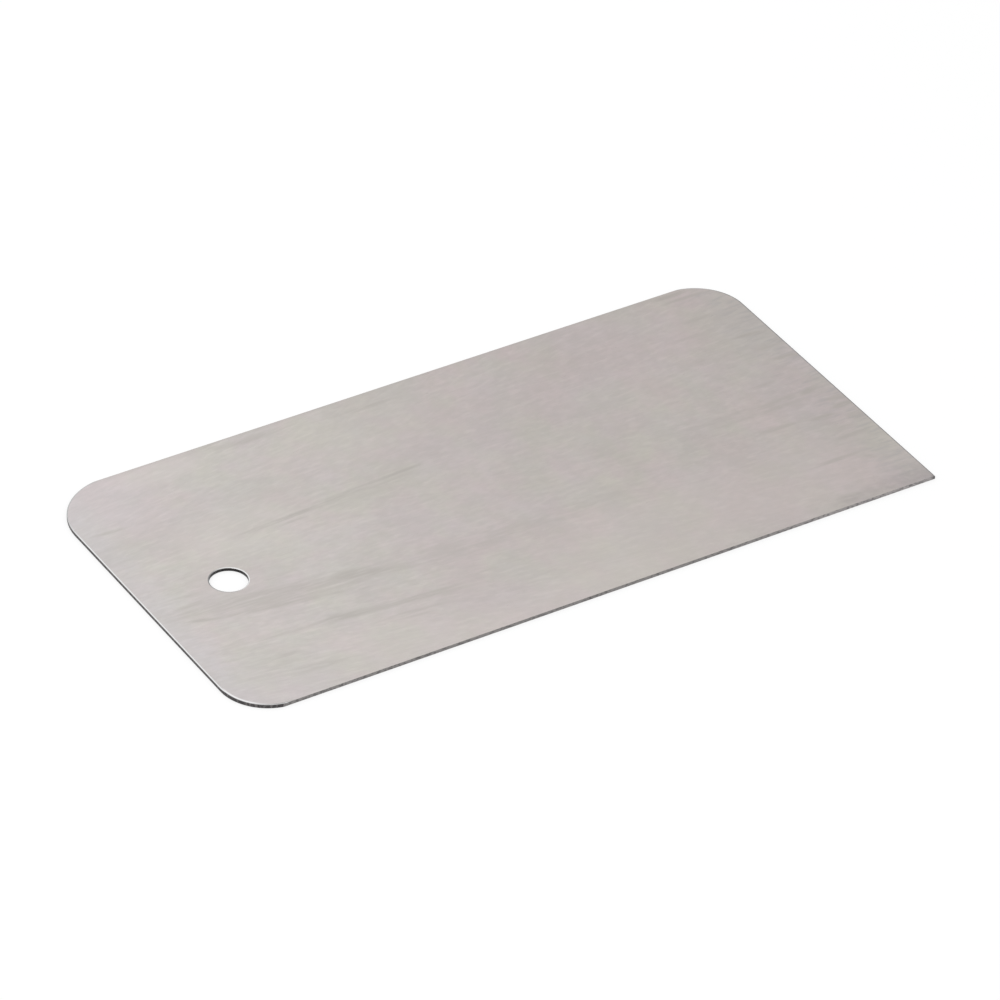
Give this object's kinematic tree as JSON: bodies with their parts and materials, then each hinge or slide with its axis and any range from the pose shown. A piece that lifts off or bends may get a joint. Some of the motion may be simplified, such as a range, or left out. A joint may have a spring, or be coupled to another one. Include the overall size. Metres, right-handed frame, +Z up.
{
  "type": "steel ski scraper",
  "caption": "Flat steel scraper plate for ski bases, with ground long edges, rounded corners and a square one, and a hole at one end to hang it by.",
  "frame": {"origin": "middle of the underside, centred on the plate's length and width", "axes": "+X along the length, away from the hanging hole; +Y across the width, away from the square corner; +Z up out of the upper face"},
  "size_m": [0.125, 0.064, 0.0006],
  "materials": {
    "steel": "satin, finely streaked along the length"
  },
  "bodies": {
    "root": {"scraper_plate": "steel"}
  },
  "joints": []
}
